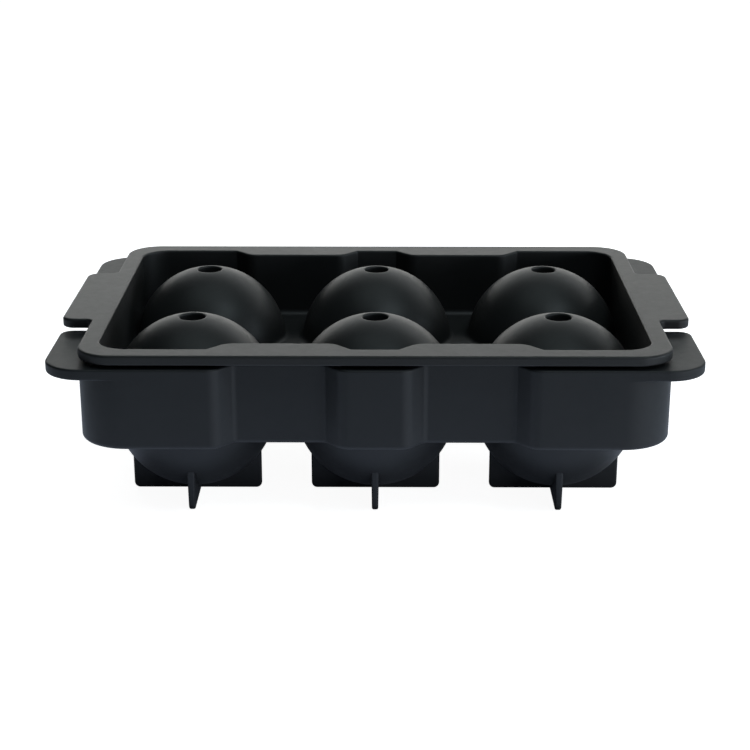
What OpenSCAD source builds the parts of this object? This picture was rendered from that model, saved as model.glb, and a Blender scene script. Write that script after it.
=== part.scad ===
// Two-part mould for ice balls: a lower tray of half-ball cups on cross-shaped feet,
// and an upper tray of half-ball domes with fill holes, nested in it.
// The parting plane of the balls is where the two floors meet.

/* [Balls] */
// Diameter of one ice ball
ball_d = 45; // [42:0.5:46]
// Distance between the centres of neighbouring balls
pitch = 57; // [56:0.5:64]
// Balls along the length
columns = 3; // [2:1:5]
// Balls across the width
rows = 2; // [1:1:3]

/* [Shells] */
// Wall of a cup or a dome where the ball is widest
shell_t = 3.1; // [2.4:0.1:3.4]
// How much thicker the shell is at its pole than at the parting plane
crown = 1.8; // [0.5:0.1:2.5]
// Fillet where a cup or a dome meets its floor
shell_fillet = 1.5; // [0.5:0.1:2]
// Diameter of the fill hole in each dome
hole_d = 8; // [6:0.5:12]
// Rounding of the fill hole's lip
lip_r = 0.6; // [0.3:0.1:1]

/* [Lower mould] */
// Thickness of the lower floor
base_floor_t = 3.4; // [2.4:0.1:4]
// Thickness of the lower wall
base_wall_t = 2.8; // [2:0.1:3.2]
// Height of the lower wall above the parting plane
base_wall_h = 21.6; // [12:0.2:21.8]
// From the last ball's centre to the outside of the end wall
base_end = 32.1; // [31.5:0.1:36]
// From the outer row's centre to the outside of the side wall, at a bulge
base_side = 37.5; // [37:0.1:42]
// Corner radius of the lower wall, seen from above
base_corner = 15; // [10:0.5:16]
// How far an ear sticks out beyond the end wall
ear_reach = 9.4; // [6:0.2:14]
// Thickness of an ear
ear_t = 3.3; // [2:0.1:4]
// Gap between the front and the back ear
ear_gap = 51.2; // [40:0.2:60]
// Outer corner radius of an ear
ear_corner = 12; // [8:0.5:14]

/* [Scallops] */
// How far the side walls step in between the balls
scallop_depth = 5.9; // [4:0.1:6.5]
// Slope of the step
scallop_slope = 48; // [44:1:60]
// Half the width of a bulge, up to the step
bulge_half = 9.8; // [9.2:0.1:11]
// Rounding where a bulge turns into the step
bulge_r = 5.4; // [3.4:0.1:6]
// Rounding at the foot of the step
recess_r = 2.5; // [1.5:0.1:3]

/* [Feet] */
// Length of a fin
foot_len = 41; // [30:0.5:44]
// Thickness of a fin at its tip
foot_tip = 2; // [1.6:0.1:2.4]
// Thickness of a fin where it meets the cup
foot_root = 2.8; // [2.4:0.1:3.6]
// How far the fins reach below the cup
foot_drop = 2.6; // [1:0.1:6]
// Rounding of a fin's lower corners, seen from its broad side
foot_corner = 1.8; // [1:0.1:3]
// Rounding along a fin's tip
foot_tip_r = 0.6; // [0.3:0.1:0.7]

/* [Upper mould] */
// Thickness of the upper floor
lid_floor_t = 3.9; // [2.4:0.1:5]
// Thickness of the basin wall
lid_wall_t = 2.4; // [1.6:0.1:2.8]
// From the last ball's centre to the inside of the basin's end
basin_end = 25.8; // [25.4:0.1:26]
// From the outer row's centre to the inside of the basin's side, at a bulge
basin_side = 29.8; // [29:0.1:30.4]
// Half the width of a bulge inside the basin
basin_bulge_half = 6.9; // [6.5:0.1:7.5]
// Corner radius inside the basin
basin_corner = 9; // [6:0.5:10]
// Rounding at the foot of the step inside the basin
basin_recess_r = 5.5; // [4:0.1:6]
// Thickness of the rim
rim_t = 3; // [2:0.1:4]
// Gap between the rim and the top of the lower wall
rim_gap = 1.2; // [0:0.1:3]
// From the last ball's centre to the end of the rim
rim_end = 31.5; // [30:0.1:35]
// From the outer row's centre to the side of the rim
rim_side = 37.1; // [35:0.1:42]
// Corner radius of the rim
rim_corner = 11; // [9:0.5:14]
// How far a pull tab sticks out beyond the rim
tab_reach = 9.7; // [6:0.1:14]
// Width of a pull tab
tab_w = 55.6; // [30:0.2:70]
// Corner radius of the tabs, and of the ears beside the gap
tab_corner = 4; // [2:0.5:6]
// Fillet where a tab or an ear leaves its tray
root_fillet = 2; // [1:0.5:3]

/* [Hidden] */
$fn = 96;
over = 1; // how far one shape runs into or past the next
bite = 0.002; // how far a rounding's arc reaches past the lines it joins, so that they cross
outer_r = ball_d / 2 + shell_t;
parting_z = foot_drop + outer_r + crown;
half_x = (columns - 1) / 2 * pitch;
half_y = (rows - 1) / 2 * pitch;
base_x = half_x + base_end;
base_y = half_y + base_side;
base_under_z = parting_z - base_floor_t;
base_top_z = parting_z + base_wall_h;
lid_floor_z = parting_z + lid_floor_t;
rim_z = base_top_z + rim_gap;
rim_x = half_x + rim_end;
rim_y = half_y + rim_side;
wall_shift = tan(scallop_slope / 2); // a bulge narrows by this much for each unit of wall
slope_run = [cos(scallop_slope), -sin(scallop_slope)]; // down a step, from a bulge to the recess

// Puts the children at every ball's centre, seen from above
module each_ball() {
    for (column = [0 : columns - 1])
        for (row = [0 : rows - 1])
            translate([column * pitch - half_x, row * pitch - half_y, 0])
                children();
}

// Mirrors the children to both ends and both sides
module four_ways() {
    for (sx = [0, 1])
        for (sy = [0, 1])
            mirror([sx, 0, 0])
                mirror([0, sy, 0])
                    children();
}

// What a round corner of radius r takes off a square corner at the origin, which fills +x and +y
module corner_waste(r) {
    if (r > 0)
        difference() {
            translate([-over, -over])
                square(r + over);
            translate([r, r])
                circle(r);
        }
}

// A rectangle centred on the origin with round corners
module round_rect(x, y, r) {
    difference() {
        square([2 * x, 2 * y], center = true);
        four_ways()
            translate([-x, -y])
                corner_waste(r);
    }
}

// The points [x, y] and, in the other order, their mirror images [-x, y]
function both_sides(points) = concat(points, [
    for (i = [len(points) - 1 : -1 : 0])
        [-points[i][0], points[i][1]]
]);

// The air between two bulges, opening towards +y from the line of the bulges.
// An arc joins each step to the bulge above it and to the bottom of the recess.
module recess(half_bulge, bulge_round, recess_round) {
    mouth = [half_bulge - pitch / 2, 0];
    foot = mouth + slope_run * scallop_depth / sin(scallop_slope);
    bulge_centre = mouth + bulge_round * [-wall_shift, -1];
    recess_centre = foot + recess_round * [wall_shift, 1];
    bulge_end = mouth + slope_run * bulge_round * wall_shift;
    recess_start = foot - slope_run * recess_round * wall_shift;
    step_top = bulge_round > 0 ? [bulge_centre, bulge_end] : [mouth];
    difference() {
        union() {
            polygon(both_sides(concat(
                [[bulge_centre[0], over]],
                step_top,
                [recess_start, recess_centre, [recess_centre[0], foot[1]]]
            )));
            for (side = [0, 1])
                mirror([side, 0])
                    translate(recess_centre)
                        circle(recess_round + bite);
        }
        if (bulge_round > 0)
            for (side = [0, 1])
                mirror([side, 0])
                    translate(bulge_centre)
                        circle(bulge_round + bite);
    }
}

// A tray's outline seen from above: straight ends, and sides that bulge at every ball
module tray_outline(x, y, corner, half_bulge, bulge_round, recess_round) {
    difference() {
        round_rect(x, y, corner);
        for (gap = [0 : columns - 2])
            for (side = [0, 1])
                mirror([0, side])
                    translate([(gap + 0.5) * pitch - half_x, y])
                        recess(half_bulge, bulge_round, recess_round);
    }
}

// The outside of the lower wall, or a line that lies inside it by a distance t
module base_outline(t = 0) {
    tray_outline(base_x - t, base_y - t, base_corner - t, bulge_half - t * wall_shift,
                 max(bulge_r - t, 0), recess_r + t);
}

// The inside of the basin, or a line that lies outside it by a distance t
module basin_outline(t = 0) {
    tray_outline(half_x + basin_end + t, half_y + basin_side + t, basin_corner + t,
                 basin_bulge_half + t * wall_shift, t, basin_recess_r - t);
}

// A flat tongue that leaves an edge at x = 0 and reaches x, from y = 0 to y = w
module tongue(x, w, near_corner, far_corner) {
    difference() {
        translate([-over, 0])
            square([x + over, w]);
        translate([x, 0])
            mirror([1, 0])
                corner_waste(near_corner);
        translate([x, w])
            rotate(180)
                corner_waste(far_corner);
    }
    mirror([0, 1])
        corner_waste(root_fillet);
}

// The section of a half-ball shell, with its pole up at +y and its floor's outer face at y = floor_y
module shell_section(floor_y) {
    fillet_x = sqrt(pow(outer_r + shell_fillet, 2) - pow(floor_y + shell_fillet - crown, 2));
    lean = atan2(floor_y + shell_fillet - crown, fillet_x);
    touch_x = outer_r * cos(lean);
    touch_y = crown + outer_r * sin(lean);
    intersection() {
        translate([0, crown])
            circle(outer_r);
        translate([0, over])
            square(2 * outer_r);
    }
    difference() {
        polygon([[touch_x, touch_y], [fillet_x, floor_y + shell_fillet], [fillet_x, over],
                 [touch_x - over, over]]);
        translate([fillet_x, floor_y + shell_fillet])
            circle(shell_fillet + bite);
    }
}

// The section of a dome: a shell with a fill hole whose lip is rounded
module dome_section() {
    hole_r = hole_d / 2;
    lip_x = hole_r + lip_r;
    lip_y = crown + sqrt(pow(outer_r - lip_r, 2) - pow(lip_x, 2));
    lean = atan2(lip_y - crown, lip_x);
    difference() {
        shell_section(lid_floor_t);
        square([hole_r, 2 * outer_r]);
        difference() {
            polygon([[hole_r - over, lip_y], [lip_x, lip_y],
                     [(outer_r + over) * cos(lean), crown + (outer_r + over) * sin(lean)],
                     [hole_r - over, outer_r + crown + over]]);
            translate([lip_x, lip_y])
                circle(lip_r + bite);
        }
    }
}

// One thin fin along x: drafted from root to tip, with a rounded tip and round lower corners
module fin() {
    root_z = base_under_z - over;
    half_tip = foot_tip / 2;
    half_root = foot_root / 2;
    intersection() {
        rotate([90, 0, 90])
            linear_extrude(foot_len + 2 * over, center = true)
                difference() {
                    polygon([[-half_tip, 0], [half_tip, 0], [half_tip, foot_tip_r],
                             [half_root, root_z], [-half_root, root_z], [-half_tip, foot_tip_r]]);
                    for (side = [0, 1])
                        mirror([side, 0])
                            translate([-half_tip, 0])
                                corner_waste(foot_tip_r);
                }
        rotate([90, 0, 0])
            linear_extrude(2 * foot_root, center = true)
                difference() {
                    translate([-foot_len / 2, 0])
                        square([foot_len, root_z]);
                    for (side = [0, 1])
                        mirror([side, 0])
                            translate([-foot_len / 2, 0])
                                corner_waste(foot_corner);
                }
    }
}

// The ball's own room, cut out of both halves
module ball_room() {
    translate([0, 0, parting_z])
        sphere(ball_d / 2);
}

module lower_mould() {
    color("#26292c")
        difference() {
            union() {
                translate([0, 0, base_under_z])
                    linear_extrude(base_floor_t + base_wall_h)
                        base_outline();
                translate([0, 0, base_top_z - ear_t])
                    linear_extrude(ear_t)
                        four_ways() {
                            translate([base_x, ear_gap / 2])
                                tongue(ear_reach, base_y - ear_gap / 2, tab_corner, ear_corner);
                            translate([base_x - base_corner, base_y - base_corner])
                                square(base_corner);
                        }
                each_ball() {
                    translate([0, 0, parting_z])
                        rotate([180, 0, 0])
                            rotate_extrude()
                                intersection() {
                                    shell_section(base_floor_t);
                                    square(2 * outer_r);
                                }
                    fin();
                    rotate(90)
                        fin();
                }
            }
            translate([0, 0, parting_z])
                linear_extrude(base_wall_h + over)
                    base_outline(base_wall_t);
            each_ball()
                ball_room();
        }
}

module upper_mould() {
    color("#2a2d30")
        difference() {
            union() {
                difference() {
                    union() {
                        translate([0, 0, parting_z])
                            linear_extrude(rim_z - parting_z + over)
                                basin_outline(lid_wall_t);
                        translate([0, 0, rim_z])
                            linear_extrude(rim_t) {
                                round_rect(rim_x, rim_y, rim_corner);
                                four_ways()
                                    translate([rim_x, 0])
                                        mirror([0, 1])
                                            translate([0, -tab_w / 2])
                                                tongue(tab_reach, tab_w / 2 + over, tab_corner, 0);
                            }
                    }
                    translate([0, 0, lid_floor_z])
                        linear_extrude(rim_z + rim_t)
                            basin_outline();
                }
                each_ball()
                    translate([0, 0, parting_z])
                        rotate_extrude()
                            dome_section();
            }
            each_ball()
                ball_room();
        }
}

lower_mould();
upper_mould();
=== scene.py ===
# An ice ball mould in black silicone: a lower tray of half-ball cups on crossed fins,
# and an upper tray of half-ball domes with fill holes, nested in it.
from math import acos, atan2, ceil, cos, degrees, pi, radians, sin, sqrt

import bmesh
import bpy
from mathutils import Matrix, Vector
from mathutils.geometry import delaunay_2d_cdt


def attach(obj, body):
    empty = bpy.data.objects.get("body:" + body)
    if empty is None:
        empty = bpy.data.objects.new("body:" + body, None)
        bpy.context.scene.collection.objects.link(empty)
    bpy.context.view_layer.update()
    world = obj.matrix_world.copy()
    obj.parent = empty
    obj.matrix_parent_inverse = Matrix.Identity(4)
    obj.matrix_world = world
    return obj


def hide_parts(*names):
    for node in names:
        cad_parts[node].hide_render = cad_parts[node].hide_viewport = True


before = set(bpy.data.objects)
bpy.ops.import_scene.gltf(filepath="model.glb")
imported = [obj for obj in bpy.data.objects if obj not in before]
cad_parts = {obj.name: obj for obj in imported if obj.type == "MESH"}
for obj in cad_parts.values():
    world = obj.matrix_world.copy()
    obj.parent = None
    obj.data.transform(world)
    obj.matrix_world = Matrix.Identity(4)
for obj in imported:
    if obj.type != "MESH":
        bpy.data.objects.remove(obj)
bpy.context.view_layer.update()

# Sizes in millimetres, as in the CAD
PITCH = 57.0
BALLS = [(x, y) for y in (-PITCH / 2, PITCH / 2) for x in (-PITCH, 0.0, PITCH)]
PARTING_Z = 30.0
CAVITY_R = 22.5
OUTER_R = 25.6
CROWN = 1.8
SHELL_FILLET = 1.5
HOLE_R = 4.0
LIP_R = 0.6

BASE_X, BASE_Y, BASE_CORNER = 89.1, 66.0, 15.0
BASE_UNDER_Z, BASE_TOP_Z = 26.6, 51.6
BASE_WALL_T = 2.8
EAR_X, EAR_CORNER, EAR_INNER_Y, EAR_T = 98.5, 12.0, 25.6, 3.3
TAB_CORNER, ROOT_FILLET = 4.0, 2.0

SCALLOP_DEPTH, SCALLOP_SLOPE = 5.9, radians(48)
BULGE_HALF, BULGE_R, RECESS_R = 9.8, 5.4, 2.5

RIM_X, RIM_Y, RIM_CORNER = 88.5, 65.6, 11.0
RIM_Z, RIM_TOP_Z = 52.8, 55.8
TAB_X, TAB_Y = 98.2, 27.8
BASIN_X, BASIN_Y, BASIN_CORNER = 82.8, 58.3, 9.0
BASIN_BULGE_HALF, BASIN_BULGE_R, BASIN_RECESS_R = 6.9, 0.6, 5.5
BASIN_WALL_T = 2.4
LID_FLOOR_Z = 33.9

FOOT_HALF, FOOT_CORNER, FOOT_TIP_R = 20.5, 1.8, 0.6
FOOT_TIP_HALF, FOOT_ROOT_HALF = 1.0, 1.4

# Roundings along edges
EDGE_R = 0.6
RIM_EDGE_R = 0.7
RIM_NECK_R = 0.8
SMALL_R = 0.5
BASE_FOOT_R = 1.2
BASIN_FOOT_R = 2.0
UNDER_EAR_SHARE, UNDER_EAR_SUPPORT_SHARE = 0.3, 0.15  # of the room between ear edge and wall

# Inside the material
HIDDEN_R = CAVITY_R + 0.3  # the edge of the lid's floor under a dome
SKIRT = 0.6  # how far a dome reaches into that floor

# How far from its edge a flat face's first ring of points lies
FLAT, WIDE_FLAT, NECK_FLAT = 1.1, 1.2, 1.4
BASE_FOOT_FLAT = BASE_FOOT_R + 1.0
BASIN_FOOT_FLAT = BASIN_FOOT_R + 0.4

# How fine the meshes are
SUPPORT = 0.25  # a loop this far beyond a rounding keeps the flat beside it flat in shading
THIN_SUPPORT = 0.2  # the same on fins and in fill holes
LINE_STEP = 5.0
ARC_STEP = radians(6)
CORNER_STEPS = 15  # ARC_STEPs in a square corner
APART = 0.1  # the least room between a point on a straight and the start of a corner
ROUND_STEPS = 5
TIP_STEPS = 4
FIN_STEPS = 8  # from the middle of a fin's top to its end
TURNS = 120
SHARP = radians(40)  # faces that meet at less than this are shaded as one
SAME = 1e-5  # points nearer than this are one
CAP_SAME, ROUND_OFF, TINY = 1e-7, 1e-9, 1e-12
MM = 0.001
MERGE_M, SLIVER_M = 2e-7, 1e-8  # in metres

# The silicone
SILICONE_IOR = 1.41
SEED_WAY = (1, 0.7, 0.3)  # where a seed moves the patterns
DARK_AT, LIGHT_AT = 0.3, 0.7  # how much cloud gives the dark and the light colour
SHEEN_SPREAD = 0.05  # of the roughness, up and down

# The stage, in metres
AIM = Vector((0, 0, 0.04))
FLOOR_RADIUS = 3
WORLD_TINT, WORLD_FILL = (0.8, 0.9, 1.0), 0.02
# The bluish tint of the painted glow that reflections see on the floor
PAINTED_REFLECTION_TINT = (0.65, 0.75, 1)
# The glow that reflections see on the floor holds a painted shadow under the tray and a
# painted pool of light beside it. In millimetres from a line this far inside the tray's outline,
# it rises from SHADE_LOW at the line to 1 at POOL_START, and falls from POOL_FADE to POOL_FAR at
# POOL_END
SHADE_INSIDE, SHADE_LOW = 18.0, 0.07
POOL_START, POOL_FADE, POOL_END, POOL_FAR = 16.0, 45.0, 130.0, 0.3
LAMPS = (
    # name, place, size, strength, colour
    ("back_light", (0, 0.83, 0.17), (1.1, 0.22), 2.2, (1, 1, 0.97)),
    ("back_high_light", (0.2, 0.705, 0.515), (1.5, 0.275), 1.55, (0.95, 1, 1)),
    ("top_light", (0, 0, 1.6), (1.4, 1.2), 0.72, (0.82, 0.98, 1)),
    ("front_top_light", (0.55, -0.7, 1.35), (0.65, 0.35), 6.3, (0.79, 0.94, 1)),
    ("side_light", (1.7, -0.3, 0.3), (1.0, 0.5), 5.2, (0.8, 0.92, 1)),
    ("low_front_light", (1.2, -1.3, 0.12), (0.9, 0.2), 10.2, (0.87, 0.91, 1)),
)

# The camera, fitted to the photograph
CAMERA_AT = (0.003211, -0.551962, 0.21154)
CAMERA_DOWN, CAMERA_TURN = 20.378, 0.368
SENSOR_MM, LENS_MM, SHIFT_UP, CLIP_NEAR = 36, 84.0, 0.0825, 0.01


# Outlines
class Sample:
    """A point of an outline that knows where it goes when the outline is moved outwards by d."""

    def __init__(self, point, normal, centre=None, radius=0.0, side=0, apex=None, mitre=None):
        self.point, self.normal = point, normal
        self.centre, self.radius, self.side = centre, radius, side
        self.apex, self.mitre = apex, mitre

    def at(self, d):
        if self.centre is None:
            return self.point + self.normal * d
        radius = self.radius + self.side * d
        if radius > 0:
            return self.centre + self.normal * (self.side * radius)
        return self.apex + self.mitre * d


def right_of(direction):
    return Vector((direction.y, -direction.x))


def turned(v, angle):
    c, s = cos(angle), sin(angle)
    return Vector((v.x * c - v.y * s, v.x * s + v.y * c))


def corner_samples(before, corner, after, radius, steps=None):
    """One corner of an outline, rounded by radius; outwards is to the right of the way round."""
    d1 = (corner - before).normalized()
    d2 = (after - corner).normalized()
    n1, n2 = right_of(d1), right_of(d2)
    mitre = (n1 + n2) / (1 + n1.dot(n2))
    if radius <= 0:
        return [Sample(corner, mitre)]
    turn = atan2(d1.x * d2.y - d1.y * d2.x, d1.dot(d2))
    side = 1 if turn > 0 else -1
    centre = corner - mitre * (side * radius)
    count = steps or max(3, ceil(abs(turn) / ARC_STEP))
    samples = []
    for i in range(count + 1):
        normal = turned(n1, turn * i / count)
        point = centre + normal * (side * radius)
        samples.append(Sample(point, normal, centre, radius, side, corner, mitre))
    return samples


def outline(corners, closed=True):
    """Samples along straight lines through corners (x, y) or (x, y, radius), counter-clockwise."""
    points = [Vector(c[:2]) for c in corners]
    radii = [c[2] if len(c) > 2 else 0.0 for c in corners]
    count = len(points)
    parts = []
    for i in range(count):
        after = points[(i + 1) % count]
        if closed or 0 < i < count - 1:
            parts.append(corner_samples(points[i - 1], points[i], after, radii[i]))
        else:
            way = (after - points[i]) if i == 0 else (points[i] - points[i - 1])
            parts.append([Sample(points[i], right_of(way.normalized()))])
    samples = []
    for i, part in enumerate(parts):
        for sample in part:
            if not samples or (sample.point - samples[-1].point).length > SAME:
                samples.append(sample)
        if i == count - 1 and not closed:
            break
        start, end = part[-1].point, parts[(i + 1) % count][0].point
        pieces = ceil((end - start).length / LINE_STEP - ROUND_OFF)
        if pieces > 1:
            normal = right_of((end - start).normalized())
            samples += [Sample(start.lerp(end, k / pieces), normal) for k in range(1, pieces)]
    if closed and (samples[0].point - samples[-1].point).length < SAME:
        samples.pop()
    return samples


def scallops(y, half_bulge, bulge_r, recess_r):
    """Corners of the front side between its two ends, from left to right."""
    corners = []
    mouth = PITCH / 2 - half_bulge
    foot = mouth - SCALLOP_DEPTH * cos(SCALLOP_SLOPE) / sin(SCALLOP_SLOPE)
    for middle in (-PITCH / 2, PITCH / 2):
        corners += [
            (middle - mouth, -y, bulge_r),
            (middle - foot, -y + SCALLOP_DEPTH, recess_r),
            (middle + foot, -y + SCALLOP_DEPTH, recess_r),
            (middle + mouth, -y, bulge_r),
        ]
    return corners


def half_turned(corners):
    return [(-c[0], -c[1]) + tuple(c[2:]) for c in corners]


def flipped(corners):
    """The same corners mirrored front to back, in the order that keeps them counter-clockwise."""
    return [(c[0], -c[1]) + tuple(c[2:]) for c in reversed(corners)]


def nearest(point, samples):
    """How far a point is from the line through the samples."""
    gaps = []
    for a, b in zip(samples, samples[1:]):
        along = b.point - a.point
        t = (point - a.point).dot(along) / max(along.length_squared, TINY)
        gaps.append((a.point + along * max(0.0, min(1.0, t)) - point).length)
    return min(gaps)


# Sections
def section(corners):
    """Points (offset, height) through corners (offset, height, radius), with a support beside
    each rounding. The first and the last point end the flats on both sides of the section."""
    points = [Vector(c[:2]) for c in corners]
    found = [points[0]]
    for i in range(1, len(corners) - 1):
        before, corner, after = points[i - 1 : i + 2]
        rounding = corner_samples(before, corner, after, corners[i][2], ROUND_STEPS)
        bend = [s.point for s in rounding]
        back = (before - corner).normalized() * SUPPORT
        on = (after - corner).normalized() * SUPPORT
        found += [bend[0] + back] + bend + [bend[-1] + on]
    found.append(points[-1])
    return [(p.x, p.y) for p in found]


def arc(cx, cz, radius, start, end, step):
    """Points (r, z) of an arc from one angle to another, in degrees."""
    count = max(2, ceil(abs(end - start) / step))
    angles = [radians(start + (end - start) * i / count) for i in range(count + 1)]
    return [(cx + radius * cos(a), cz + radius * sin(a)) for a in angles]


def cove_radius(rise):
    """How far out the centre of a shell's cove is, when it is this far above or below the centre
    of the shell."""
    return sqrt((OUTER_R + SHELL_FILLET) ** 2 - rise**2)


CUP_COVE_R = cove_radius(PARTING_Z - CROWN - BASE_UNDER_Z + SHELL_FILLET)
DOME_COVE_R = cove_radius(LID_FLOOR_Z + SHELL_FILLET - PARTING_Z - CROWN)


# Meshes
def inside(x, y, loop):
    odd = False
    for i in range(len(loop)):
        (x1, y1), (x2, y2) = loop[i - 1], loop[i]
        if (y1 > y) != (y2 > y) and x < (x2 - x1) * (y - y1) / (y2 - y1) + x1:
            odd = not odd
    return odd


class Skin:
    """Vertices and faces of one piece."""

    def __init__(self):
        self.vertices, self.faces = [], []

    def add(self, points):
        first = len(self.vertices)
        self.vertices += [tuple(p) for p in points]
        return list(range(first, len(self.vertices)))

    def ring(self, samples, offset, height):
        return self.add([(*s.at(offset), height) for s in samples])

    def strip(self, a, b, closed=True):
        count = len(a)
        for i in range(count if closed else count - 1):
            j = (i + 1) % count
            self.faces.append((a[i], a[j], b[j], b[i]))

    def walk(self, samples, points, start=None):
        """Rings of the outline at each (offset, height), joined one to the next, after a ring
        that is already there if start gives one. Returns the first and the last."""
        rings = [start] if start else []
        rings += [self.ring(samples, offset, height) for offset, height in points]
        for a, b in zip(rings, rings[1:]):
            self.strip(a, b)
        return rings[0], rings[-1]

    def cap(self, loops):
        """A flat face with holes: the first loop is its edge."""
        flat = [[self.vertices[i][:2] for i in loop] for loop in loops]
        points, edges, owner = [], [], []
        for loop, ids in zip(flat, loops):
            first = len(points)
            points += [Vector(p) for p in loop]
            owner += ids
            edges += [(first + i, first + (i + 1) % len(loop)) for i in range(len(loop))]
        made, _, faces, origins, *_ = delaunay_2d_cdt(points, edges, [], 1, CAP_SAME, True)
        for face in faces:
            x = sum(made[i].x for i in face) / len(face)
            y = sum(made[i].y for i in face) / len(face)
            if inside(x, y, flat[0]) and not any(inside(x, y, hole) for hole in flat[1:]):
                self.faces.append(tuple(owner[origins[i][0]] for i in face))

    def circle(self, x, y, radius, height):
        angles = [2 * pi * k / TURNS for k in range(TURNS)]
        return self.add([(x + radius * cos(a), y + radius * sin(a), height) for a in angles])

    def circles(self, radius, height):
        return [self.circle(x, y, radius, height) for x, y in BALLS]

    def revolve(self, x, y, profile):
        """A line of points (radius, height) turned about the upright line at x, y."""
        rings = []
        for radius, height in profile:
            if radius < SAME:
                rings.append(self.add([(x, y, height)]))
            else:
                rings.append(self.circle(x, y, radius, height))
        for a, b in zip(rings, rings[1:]):
            if len(a) == 1 or len(b) == 1:
                tip, ring = (a, b) if len(a) == 1 else (b, a)
                self.faces += [(tip[0], ring[i], ring[(i + 1) % TURNS]) for i in range(TURNS)]
            else:
                self.strip(a, b)


def piece(name, skin, material, node):
    mesh = bpy.data.meshes.new(name)
    mesh.from_pydata([(x * MM, y * MM, z * MM) for x, y, z in skin.vertices], [], skin.faces)
    shape = bmesh.new()
    shape.from_mesh(mesh)
    bmesh.ops.remove_doubles(shape, verts=shape.verts, dist=MERGE_M)
    bmesh.ops.dissolve_degenerate(shape, edges=shape.edges, dist=SLIVER_M)
    bmesh.ops.recalc_face_normals(shape, faces=shape.faces)
    for face in shape.faces:
        face.smooth = True
    for edge in shape.edges:
        if len(edge.link_faces) == 2:
            edge.smooth = edge.calc_face_angle(0.0) < SHARP
    shape.to_mesh(mesh)
    shape.free()
    mesh.materials.append(material)
    made = bpy.data.objects.new(name, mesh)
    bpy.context.scene.collection.objects.link(made)
    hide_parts(node)
    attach(made, "root")


# Lower mould
def flange_parts():
    """The top of the lower wall in eight runs: front, ear, end, ear, back, ear, end, ear. Each run
    is the samples of the flange and those of the wall, which are one list where there's no ear."""
    join_x, join_y = BASE_X - BASE_CORNER, EAR_INNER_Y - ROOT_FILLET
    front = [(-join_x, -BASE_Y)]
    front += scallops(BASE_Y, BULGE_HALF, BULGE_R, RECESS_R)
    front += [(join_x, -BASE_Y)]
    beside_corner = [join_x + BASE_CORNER * sin(k * ARC_STEP) for k in range(1, CORNER_STEPS)]
    ear = [(join_x, -BASE_Y)]
    ear += [(x, -BASE_Y) for x in beside_corner if x < EAR_X - EAR_CORNER - APART]
    ear += [
        (EAR_X, -BASE_Y, EAR_CORNER),
        (EAR_X, -EAR_INNER_Y, TAB_CORNER),
        (BASE_X, -EAR_INNER_Y, ROOT_FILLET),
        (BASE_X, -join_y),
    ]
    wall = [(join_x, -BASE_Y), (BASE_X, -BASE_Y, BASE_CORNER), (BASE_X, -join_y)]
    end = [(BASE_X, -join_y), (BASE_X, join_y)]
    runs = []
    for turn in (lambda corners: corners, half_turned):
        side = outline(turn(front), False)
        runs.append((side, side))
        runs.append((outline(turn(ear), False), outline(turn(wall), False)))
        straight = outline(turn(end), False)
        runs.append((straight, straight))
        runs.append((outline(turn(flipped(ear)), False), outline(turn(flipped(wall)), False)))
    return runs


def chained(lists):
    """One closed list from lists that each start where the last one ended, and where each lies."""
    whole, spans = [], []
    for part in lists:
        first = len(whole)
        whole += part[:-1]
        spans.append((first, first + len(part)))
    return whole, spans


def span(ring, bounds):
    return [ring[i % len(ring)] for i in range(*bounds)]


def add_under_ear(skin, flange, wall, edge, seat, ear_z):
    """The rounding below an ear's edge, and its underside as far as the wall. The rounding shrinks
    with the room beside it, to nothing where the ear leaves the wall."""
    room = [nearest(sample.point, wall) for sample in flange]
    rings = [edge]
    for step in range(-1, ROUND_STEPS + 2):
        angle = min(max(step, 0), ROUND_STEPS) / ROUND_STEPS * pi / 2
        points = []
        for sample, gap in zip(flange, room):
            r = min(SMALL_R, UNDER_EAR_SHARE * gap)
            extra = min(SUPPORT, UNDER_EAR_SUPPORT_SHARE * gap)
            offset = r * (cos(angle) - 1) - (extra if step > ROUND_STEPS else 0)
            height = ear_z + r * (1 - sin(angle)) + (extra if step < 0 else 0)
            points.append((*sample.at(offset), height))
        rings.append(skin.add(points))
    for a, b in zip(rings, rings[1:]):
        skin.strip(a, b, False)
    under = rings[-1][1:-1]
    skin.cap([seat + under[::-1]])


def add_tray(skin):
    runs = flange_parts()
    flange, flange_spans = chained([f for f, _ in runs])
    wall, wall_spans = chained([w for _, w in runs])
    ear_z = BASE_TOP_Z - EAR_T

    edge = section([(-FLAT, BASE_TOP_Z), (0, BASE_TOP_Z, EDGE_R), (0, BASE_TOP_Z - WIDE_FLAT)])
    top_ring, edge_ring = skin.walk(flange, edge[:-1])
    seat_ring = skin.ring(wall, 0, ear_z)
    for (f, w), flange_span, wall_span in zip(runs, flange_spans, wall_spans):
        edge_part, seat_part = span(edge_ring, flange_span), span(seat_ring, wall_span)
        if f is w:
            skin.strip(edge_part, seat_part, False)
        else:
            add_under_ear(skin, f, w, edge_part, seat_part, ear_z)

    outside = section(
        [
            (0, ear_z - SUPPORT),
            (0, BASE_UNDER_Z, BASE_FOOT_R),
            (-BASE_FOOT_FLAT, BASE_UNDER_Z),
        ]
    )
    _, under_ring = skin.walk(wall, outside, start=seat_ring)
    inner = section(
        [
            (-BASE_WALL_T + FLAT, BASE_TOP_Z),
            (-BASE_WALL_T, BASE_TOP_Z, SMALL_R),
            (-BASE_WALL_T, PARTING_Z, SMALL_R),
            (-BASE_WALL_T - WIDE_FLAT, PARTING_Z),
        ]
    )
    inner_top, floor_ring = skin.walk(wall, inner)
    skin.cap([top_ring, inner_top])
    skin.cap([floor_ring] + skin.circles(CAVITY_R, PARTING_Z))
    skin.cap([under_ring] + skin.circles(CUP_COVE_R + SUPPORT, BASE_UNDER_Z))


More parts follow.
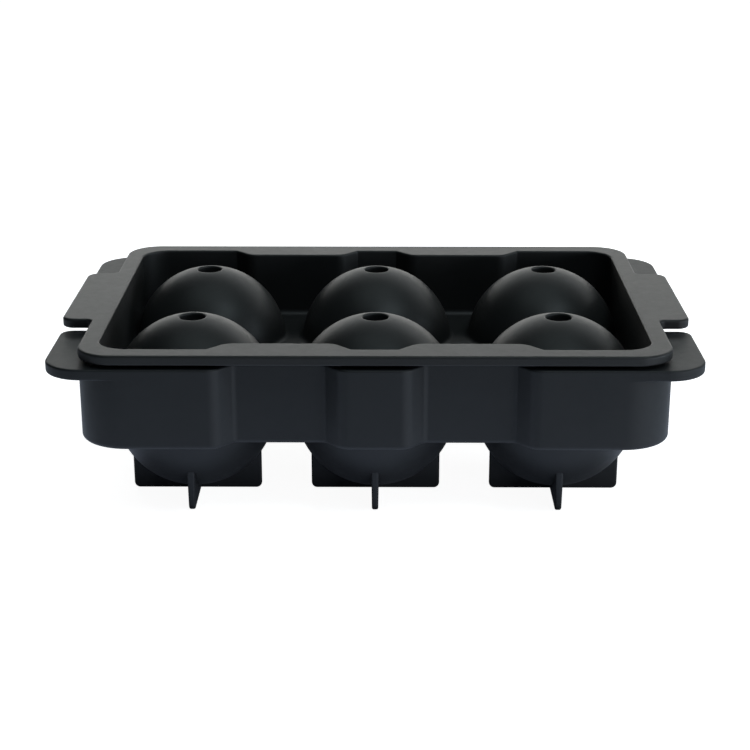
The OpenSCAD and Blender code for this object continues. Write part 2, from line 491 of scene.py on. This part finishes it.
def cup_profiles():
    """The hollow of a cup up to the floor's top, and its outside from the floor's underside
    down."""
    centre_z = PARTING_Z - CROWN
    lean = degrees(acos(CUP_COVE_R / (OUTER_R + SHELL_FILLET)))
    inner = arc(0, PARTING_Z, CAVITY_R, 270, 360, step=5)
    outer = arc(0, centre_z, OUTER_R, -lean, -90, step=3)
    cove_z = BASE_UNDER_Z - SHELL_FILLET
    cove = arc(CUP_COVE_R, cove_z, SHELL_FILLET, 90, 180 - lean, step=10)
    flat_end = (CUP_COVE_R + SUPPORT, BASE_UNDER_Z)
    return (
        [(0.0, PARTING_Z - CAVITY_R)] + inner[1:],
        [flat_end] + cove + outer[1:-1] + [(0.0, centre_z - OUTER_R)],
    )


def add_fin(skin, x, y, along_x):
    """A thin upright fin under a cup. Its top lies inside the cup's shell."""
    middle_z, middle_r = PARTING_Z - CROWN / 2, (CAVITY_R + OUTER_R) / 2
    along = [FOOT_HALF * (1 - k / FIN_STEPS) for k in range(2 * FIN_STEPS + 1)]
    top = [(u, middle_z - sqrt(middle_r**2 - u * u)) for u in along]
    samples = outline([(-FOOT_HALF, 0, FOOT_CORNER), (FOOT_HALF, 0, FOOT_CORNER)] + top)

    def put(offset, give, side):
        """The fin's outline on one side: offset outwards, and give less than the full thickness
        from the middle."""
        ring = []
        for sample in samples:
            u, z = sample.at(offset)
            rise = max(z - FOOT_TIP_R, 0)
            draft = (FOOT_ROOT_HALF - FOOT_TIP_HALF) * rise / (BASE_UNDER_Z - FOOT_TIP_R)
            v = side * (FOOT_TIP_HALF + draft - give)
            ring.append((x + u, y + v, z) if along_x else (x - v, y + u, z))
        return skin.add(ring)

    flank = -FOOT_TIP_R - THIN_SUPPORT
    turns = [i / TIP_STEPS * pi / 2 for i in range(TIP_STEPS + 1)]
    bends = [(FOOT_TIP_R * (sin(a) - 1), FOOT_TIP_R * (1 - cos(a))) for a in turns]
    rings = [put(flank, 0, -1)]
    rings += [put(offset, give, -1) for offset, give in bends]
    rings += [put(offset, give, 1) for offset, give in reversed(bends)]
    rings += [put(flank, 0, 1)]
    for a, b in zip(rings, rings[1:]):
        skin.strip(a, b)
    for ring in (rings[0], rings[-1]):
        flat = Skin()
        flat.cap([flat.add([(*sample.at(flank), 0) for sample in samples])])
        skin.faces += [tuple(ring[i] for i in face) for face in flat.faces]


def make_lower(material):
    skin = Skin()
    add_tray(skin)
    for x, y in BALLS:
        for profile in cup_profiles():
            skin.revolve(x, y, profile)
        add_fin(skin, x, y, True)
        add_fin(skin, x, y, False)
    piece("lower_mould_skin", skin, material, "lower_mould")


# Upper mould
def add_basin(skin):
    half = [
        (RIM_X, -RIM_Y, RIM_CORNER),
        (RIM_X, -TAB_Y, ROOT_FILLET),
        (TAB_X, -TAB_Y, TAB_CORNER),
    ]
    side = half + flipped(half)
    rim = outline(side + half_turned(side))
    front = [(-BASIN_X, -BASIN_Y, BASIN_CORNER)]
    front += scallops(BASIN_Y, BASIN_BULGE_HALF, BASIN_BULGE_R, BASIN_RECESS_R)
    front += [(BASIN_X, -BASIN_Y, BASIN_CORNER)]
    basin = outline(front + half_turned(front))

    edge = section(
        [
            (-WIDE_FLAT, RIM_TOP_Z),
            (0, RIM_TOP_Z, RIM_EDGE_R),
            (0, RIM_Z, SMALL_R),
            (-FLAT, RIM_Z),
        ]
    )
    rim_top, rim_under = skin.walk(rim, edge)
    opening = section(
        [
            (FLAT, RIM_TOP_Z),
            (0, RIM_TOP_Z, EDGE_R),
            (0, LID_FLOOR_Z, BASIN_FOOT_R),
            (-BASIN_FOOT_FLAT, LID_FLOOR_Z),
        ]
    )
    basin_top, floor_ring = skin.walk(basin, opening)
    outside = section(
        [
            (BASIN_WALL_T + NECK_FLAT, RIM_Z),
            (BASIN_WALL_T, RIM_Z, RIM_NECK_R),
            (BASIN_WALL_T, PARTING_Z, SMALL_R),
            (BASIN_WALL_T - FLAT, PARTING_Z),
        ]
    )
    under_ring, bottom_ring = skin.walk(basin, outside)
    skin.cap([rim_top, basin_top])
    skin.cap([rim_under, under_ring])
    skin.cap([floor_ring] + skin.circles(HIDDEN_R, LID_FLOOR_Z))
    skin.cap([bottom_ring] + skin.circles(CAVITY_R, PARTING_Z))


def dome_profile():
    """From the hollow's edge up through the fill hole, down the outside and into the floor.
    A dome cuts through the foot of the basin's slants, so it ends in a skirt under the floor's
    top and not in that face itself."""
    centre_z = PARTING_Z + CROWN
    lean = degrees(acos(DOME_COVE_R / (OUTER_R + SHELL_FILLET)))
    lip_x = HOLE_R + LIP_R
    lip_z = centre_z + sqrt((OUTER_R - LIP_R) ** 2 - lip_x**2)
    lip_lean = degrees(atan2(lip_z - centre_z, lip_x))
    hole_foot = PARTING_Z + sqrt(CAVITY_R**2 - HOLE_R**2)
    inner = arc(0, PARTING_Z, CAVITY_R, 0, degrees(acos(HOLE_R / CAVITY_R)), step=6)
    lip = arc(lip_x, lip_z, LIP_R, 180, lip_lean, step=16)
    outer = arc(0, centre_z, OUTER_R, lip_lean, lean, step=2.5)
    cove_z = LID_FLOOR_Z + SHELL_FILLET
    cove = arc(DOME_COVE_R, cove_z, SHELL_FILLET, 180 + lean, 270, step=10)
    hole = [(HOLE_R, hole_foot + THIN_SUPPORT), (HOLE_R, lip_z - THIN_SUPPORT)]
    skirt_z = LID_FLOOR_Z - SKIRT
    skirt = [(DOME_COVE_R, skirt_z), (HIDDEN_R, skirt_z), (HIDDEN_R, LID_FLOOR_Z)]
    return inner + hole + lip + outer[1:] + cove[1:] + skirt


def make_upper(material):
    skin = Skin()
    add_basin(skin)
    for x, y in BALLS:
        skin.revolve(x, y, dome_profile())
    piece("upper_mould_skin", skin, material, "upper_mould")


# Materials
def silicone(name, dark, light, roughness, seed):
    """Matte moulded silicone: a fine spark-eroded grain, faint flow marks and a slight bloom."""
    material = bpy.data.materials.new(name)
    material.use_nodes = True
    nodes, links = material.node_tree.nodes, material.node_tree.links
    shader = nodes["Principled BSDF"]
    shader.inputs["IOR"].default_value = SILICONE_IOR
    place = nodes.new("ShaderNodeTexCoord")
    shift = nodes.new("ShaderNodeMapping")
    shift.inputs["Location"].default_value = [seed * part for part in SEED_WAY]
    links.new(place.outputs["Object"], shift.inputs["Vector"])

    def noise(scale, detail, rough):
        made = nodes.new("ShaderNodeTexNoise")
        made.inputs["Scale"].default_value = scale
        made.inputs["Detail"].default_value = detail
        made.inputs["Roughness"].default_value = rough
        links.new(shift.outputs["Vector"], made.inputs["Vector"])
        return made.outputs["Fac"]

    def bump(height, strength, distance):
        made = nodes.new("ShaderNodeBump")
        made.inputs["Strength"].default_value = strength
        made.inputs["Distance"].default_value = distance
        links.new(height, made.inputs["Height"])
        return made

    grain = noise(scale=5200, detail=2, rough=0.6)
    clouds = noise(scale=38, detail=4, rough=0.55)
    bloom = noise(scale=420, detail=3, rough=0.6)

    tone = nodes.new("ShaderNodeValToRGB")
    for stop, at, colour in zip(tone.color_ramp.elements, (DARK_AT, LIGHT_AT), (dark, light)):
        stop.position, stop.color = at, (*colour, 1)
    links.new(clouds, tone.inputs["Fac"])
    links.new(tone.outputs["Color"], shader.inputs["Base Color"])

    sheen = nodes.new("ShaderNodeMapRange")
    sheen.inputs["To Min"].default_value = roughness - SHEEN_SPREAD
    sheen.inputs["To Max"].default_value = roughness + SHEEN_SPREAD
    links.new(bloom, sheen.inputs["Value"])
    links.new(sheen.outputs["Result"], shader.inputs["Roughness"])

    fine = bump(grain, strength=0.25, distance=0.00004)
    broad = bump(clouds, strength=0.3, distance=0.0003)
    links.new(fine.outputs["Normal"], broad.inputs["Normal"])
    links.new(broad.outputs["Normal"], shader.inputs["Normal"])
    return material


make_lower(
    silicone(
        "lower_silicone",
        dark=(0.011, 0.012, 0.0138),
        light=(0.0148, 0.016, 0.018),
        roughness=0.52,
        seed=1.3,
    )
)
make_upper(
    silicone(
        "upper_silicone",
        dark=(0.0135, 0.0137, 0.014),
        light=(0.018, 0.0182, 0.0185),
        roughness=0.46,
        seed=4.7,
    )
)


# Stage
def by_ray(tree, output, seen, reflected, unseen):
    """Camera rays get the first shader, glossy rays the second and all other rays the third."""
    path = tree.nodes.new("ShaderNodeLightPath")
    glossy = tree.nodes.new("ShaderNodeMixShader")
    tree.links.new(path.outputs["Is Glossy Ray"], glossy.inputs[0])
    tree.links.new(unseen.outputs[0], glossy.inputs[1])
    tree.links.new(reflected.outputs[0], glossy.inputs[2])
    camera = tree.nodes.new("ShaderNodeMixShader")
    tree.links.new(path.outputs["Is Camera Ray"], camera.inputs[0])
    tree.links.new(glossy.outputs[0], camera.inputs[1])
    tree.links.new(seen.outputs[0], camera.inputs[2])
    tree.links.new(camera.outputs[0], output)


def make_world():
    """White to the camera, and a faint fill to everything else."""
    world = bpy.data.worlds.new("studio")
    bpy.context.scene.world = world
    world.use_nodes = True
    tree = world.node_tree
    seen = tree.nodes["Background"]
    seen.inputs["Color"].default_value = (1, 1, 1, 1)
    unseen = tree.nodes.new("ShaderNodeBackground")
    unseen.inputs["Color"].default_value = (*WORLD_TINT, 1)
    unseen.inputs["Strength"].default_value = WORLD_FILL
    by_ray(tree, tree.nodes["World Output"].inputs["Surface"], seen, unseen, unseen)


def painted_shadow_and_pool(tree):
    """A painted shadow and a painted pool of light on the floor's glow: low under the tray, 1 just
    outside its outline and less again far off."""
    place = tree.nodes.new("ShaderNodeTexCoord")
    source = place.outputs["Object"]
    half_x, half_y = (EAR_X - SHADE_INSIDE) * MM, (BASE_Y - SHADE_INSIDE) * MM
    for operation, value in (
        ("ABSOLUTE", None),
        ("SUBTRACT", (half_x, half_y, 0)),
        ("MAXIMUM", (0, 0, 0)),
        ("LENGTH", None),
    ):
        step = tree.nodes.new("ShaderNodeVectorMath")
        step.operation = operation
        tree.links.new(source, step.inputs[0])
        if value:
            step.inputs[1].default_value = value
        source = step.outputs["Value" if operation == "LENGTH" else "Vector"]
    level = tree.nodes.new("ShaderNodeMath")
    level.operation = "MULTIPLY"
    bands = ((0, POOL_START, SHADE_LOW, 1), (POOL_FADE, POOL_END, 1, POOL_FAR))
    for band, (start, end, low, high) in zip(level.inputs, bands):
        ramp = tree.nodes.new("ShaderNodeMapRange")
        ramp.interpolation_type = "SMOOTHSTEP"
        ramp.inputs["From Min"].default_value = start * MM
        ramp.inputs["From Max"].default_value = end * MM
        ramp.inputs["To Min"].default_value = low
        ramp.inputs["To Max"].default_value = high
        tree.links.new(source, ramp.inputs["Value"])
        tree.links.new(ramp.outputs["Result"], band)
    return level.outputs[0]


def pale(tree, colour, glow, tint=(1, 1, 1), shaded=False):
    """A matt surface that also glows; if shaded, its glow holds a painted shadow and pool of light.
    """
    matt = tree.nodes.new("ShaderNodeBsdfDiffuse")
    matt.inputs["Color"].default_value = (colour, colour, colour, 1)
    light = tree.nodes.new("ShaderNodeEmission")
    light.inputs["Color"].default_value = (*tint, 1)
    light.inputs["Strength"].default_value = glow
    if shaded:
        level = tree.nodes.new("ShaderNodeMath")
        level.operation = "MULTIPLY"
        level.inputs[1].default_value = glow
        # The glow is scaled by the painted shadow under the tray and the painted pool of light
        # beside it
        tree.links.new(painted_shadow_and_pool(tree), level.inputs[0])
        tree.links.new(level.outputs[0], light.inputs["Strength"])
    both = tree.nodes.new("ShaderNodeAddShader")
    tree.links.new(matt.outputs[0], both.inputs[0])
    tree.links.new(light.outputs[0], both.inputs[1])
    return both


def make_floor():
    material = bpy.data.materials.new("pale_floor")
    material.use_nodes = True
    tree = material.node_tree
    tree.nodes.remove(tree.nodes["Principled BSDF"])
    by_ray(
        tree,
        tree.nodes["Material Output"].inputs["Surface"],
        seen=pale(tree, colour=0.9, glow=0.94),
        # Reflections see a painted floor glow: bluish, with a painted shadow under the tray and a
        # painted pool of light beside it
        reflected=pale(tree, colour=0.8, glow=0.8, tint=PAINTED_REFLECTION_TINT, shaded=True),
        unseen=pale(tree, colour=0.8, glow=0),
    )
    bpy.ops.mesh.primitive_circle_add(vertices=96, radius=FLOOR_RADIUS, fill_type="NGON")
    floor = bpy.context.object
    floor.name = "floor"
    floor.data.materials.append(material)


def softbox(name, at, size, strength, colour):
    """A soft light aimed at the object; strength is how bright its face looks, where 1 is white."""
    data = bpy.data.lights.new(name, "AREA")
    data.shape = "RECTANGLE"
    data.size, data.size_y = size
    data.energy = strength * pi * size[0] * size[1]
    data.color = colour
    lamp = bpy.data.objects.new(name, data)
    bpy.context.scene.collection.objects.link(lamp)
    lamp.location = at
    lamp.rotation_euler = (AIM - Vector(at)).to_track_quat("-Z", "Y").to_euler()


def make_camera():
    camera = bpy.data.objects.new("camera", bpy.data.cameras.new("camera"))
    bpy.context.scene.collection.objects.link(camera)
    camera.location = CAMERA_AT
    camera.rotation_euler = (radians(90 - CAMERA_DOWN), 0, radians(CAMERA_TURN))
    camera.data.sensor_width = SENSOR_MM
    camera.data.lens = LENS_MM
    camera.data.shift_y = SHIFT_UP
    camera.data.clip_start = CLIP_NEAR
    bpy.context.scene.camera = camera


make_world()
make_floor()
for lamp in LAMPS:
    softbox(*lamp)
make_camera()
bpy.context.scene.view_settings.view_transform = "Standard"
